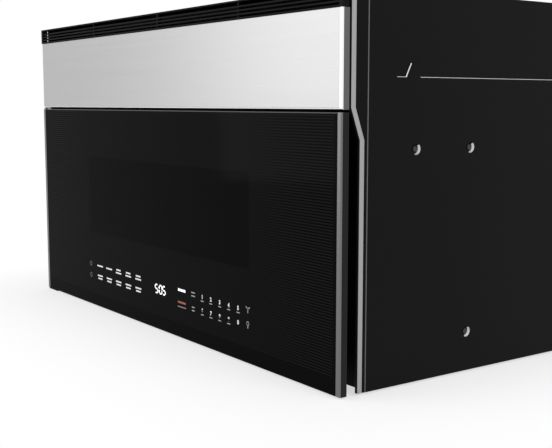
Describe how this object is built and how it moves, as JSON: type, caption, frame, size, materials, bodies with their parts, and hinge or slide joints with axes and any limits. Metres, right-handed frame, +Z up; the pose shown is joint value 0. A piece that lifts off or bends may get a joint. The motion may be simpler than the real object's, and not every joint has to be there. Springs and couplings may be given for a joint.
{
  "type": "over the range microwave",
  "caption": "Built-in microwave with hood: side-hinged full-width black glass door, stainless fascia above, black case, turntable cavity, blower and grease filters.",
  "frame": {"origin": "middle of the footprint at the level of the underside", "axes": "+X along the width to the right, +Y from the front to the wall, +Z up"},
  "size_m": [0.759, 0.4, 0.4175],
  "materials": {
    "black_sheet": "black enamel on pressed steel sheet, low sheen",
    "stainless": "stainless steel brushed from side to side",
    "satin_trim": "satin anodised strip, grey",
    "black_glass": "black glass with a fine printed line pattern",
    "clear_glass": "clear glass",
    "black_plastic": "black moulded plastic",
    "white_plastic": "natural white moulded plastic",
    "grey_plastic": "grey moulded plastic",
    "enamel": "grey enamel of the cavity",
    "zinc_sheet": "zinc coated steel sheet",
    "aluminium": "bare aluminium",
    "copper": "varnished copper winding on a dark core",
    "board": "green circuit board",
    "carbon": "charcoal granules in a frame",
    "mica": "mica sheet",
    "lens": "frosted lamp lens",
    "rubber": "black rubber"
  },
  "bodies": {
    "case": {"base_pan": "black_sheet", "left_side_panel": "black_sheet", "right_side_panel": "black_sheet", "top_cover": "black_sheet", "cord_grommet": "rubber", "back_panel": "zinc_sheet", "front_frame": "black_sheet", "hood_floor": "zinc_sheet", "bay_floor": "zinc_sheet", "left_edge_strip": "satin_trim", "right_edge_strip": "satin_trim", "left_side_trim": "black_plastic", "right_side_trim": "black_plastic", "fascia": "stainless", "vent_carrier": "black_plastic", "vent_grille": "black_plastic", "charcoal_filter": "carbon", "cooktop_lamp": "white_plastic", "cavity_box": "enamel", "waveguide_cover": "mica", "cavity_lamp": "white_plastic", "turntable_motor": "zinc_sheet", "magnetron": "zinc_sheet", "transformer": "copper", "capacitor": "aluminium", "cooling_fan_frame": "black_plastic", "main_board": "board", "blower_motor": "zinc_sheet", "left_scroll_housing": "zinc_sheet", "right_scroll_housing": "zinc_sheet", "lower_hinge_bracket": "black_sheet", "upper_hinge_bracket": "black_sheet", "latch_board": "white_plastic"},
    "door": {"door_glass": "black_glass", "left_door_trim": "satin_trim", "right_door_trim": "satin_trim", "door_backing": "black_plastic", "touch_board": "board", "choke_frame": "black_sheet", "choke_cover": "black_plastic", "inner_screen": "black_sheet", "inner_pane": "clear_glass", "latch_cover": "black_plastic"},
    "latch": {"door_latch": "white_plastic"},
    "turntable": {"turntable_coupler": "white_plastic", "glass_tray": "clear_glass"},
    "roller_ring": {"roller_ring": "white_plastic"},
    "roller_1": {"roller_1": "white_plastic"},
    "roller_2": {"roller_2": "white_plastic"},
    "roller_3": {"roller_3": "white_plastic"},
    "blower_rotor": {"blower_shaft": "zinc_sheet", "left_blower_wheel": "black_plastic", "right_blower_wheel": "black_plastic"},
    "cooling_fan": {"cooling_fan_blade": "grey_plastic"},
    "left_filter": {"left_grease_filter": "aluminium"},
    "right_filter": {"right_grease_filter": "aluminium"},
    "lamp_cover": {"lamp_cover": "lens"},
    "primary_plunger": {"primary_plunger": "rubber"},
    "monitor_plunger": {"monitor_plunger": "rubber"},
    "secondary_plunger": {"secondary_plunger": "rubber"}
  },
  "joints": [
    {"name": "door_hinge", "type": "hinge", "parent": "case", "child": "door", "pos_m": [-0.3756, -0.19535, 0.1475], "axis": [0, 0, -1], "range_deg": [0, 110]},
    {"name": "latch_lift", "type": "slide", "parent": "door", "child": "latch", "axis": [0, 0, 1], "range_m": [0, 0.004], "stiffness_N_per_m": 300, "springref_m": -0.006},
    {"name": "turntable_spin", "type": "hinge", "parent": "case", "child": "turntable", "pos_m": [-0.039, 0.00025, 0.06], "axis": [0, 0, 1], "continuous": true},
    {"name": "roller_ring_spin", "type": "hinge", "parent": "case", "child": "roller_ring", "pos_m": [-0.039, 0.00025, 0.0573], "axis": [0, 0, 1], "continuous": true},
    {"name": "blower_spin", "type": "hinge", "parent": "case", "child": "blower_rotor", "pos_m": [0, 0.126, 0.3482], "axis": [1, 0, 0], "continuous": true},
    {"name": "cooling_fan_spin", "type": "hinge", "parent": "case", "child": "cooling_fan", "pos_m": [0.2885, 0.156, 0.19], "axis": [0, 1, 0], "continuous": true},
    {"name": "left_filter_hinge", "type": "hinge", "parent": "case", "child": "left_filter", "pos_m": [-0.19075, 0.1411, 0.0012], "axis": [1, 0, 0], "range_deg": [0, 60]},
    {"name": "right_filter_hinge", "type": "hinge", "parent": "case", "child": "right_filter", "pos_m": [0.19075, 0.1411, 0.0012], "axis": [1, 0, 0], "range_deg": [0, 60]},
    {"name": "lamp_cover_hinge", "type": "hinge", "parent": "case", "child": "lamp_cover", "pos_m": [0, -0.0609, 0.0012], "axis": [1, 0, 0], "range_deg": [0, 70]},
    {"name": "roller_1_spin", "type": "hinge", "parent": "roller_ring", "child": "roller_1", "pos_m": [0.073, 0.00025, 0.0573], "axis": [1, 0, 0], "continuous": true},
    {"name": "roller_2_spin", "type": "hinge", "parent": "roller_ring", "child": "roller_2", "pos_m": [-0.095, 0.09724, 0.0573], "axis": [-0.5, 0.866, 0], "continuous": true},
    {"name": "roller_3_spin", "type": "hinge", "parent": "roller_ring", "child": "roller_3", "pos_m": [-0.095, -0.09674, 0.0573], "axis": [-0.5, -0.866, 0], "continuous": true},
    {"name": "primary_plunger_slide", "type": "slide", "parent": "case", "child": "primary_plunger", "axis": [0, 1, 0], "range_m": [0, 0.0018], "stiffness_N_per_m": 150},
    {"name": "monitor_plunger_slide", "type": "slide", "parent": "case", "child": "monitor_plunger", "axis": [0, 1, 0], "range_m": [0, 0.0018], "stiffness_N_per_m": 150},
    {"name": "secondary_plunger_slide", "type": "slide", "parent": "case", "child": "secondary_plunger", "axis": [0, 1, 0], "range_m": [0, 0.0018], "stiffness_N_per_m": 150}
  ],
  "couplings": [
    {"joint": "roller_ring_spin", "follows": "turntable_spin", "ratio": 0.5},
    {"joint": "roller_1_spin", "follows": "turntable_spin", "ratio": -8},
    {"joint": "roller_2_spin", "follows": "turntable_spin", "ratio": -8},
    {"joint": "roller_3_spin", "follows": "turntable_spin", "ratio": -8}
  ]
}
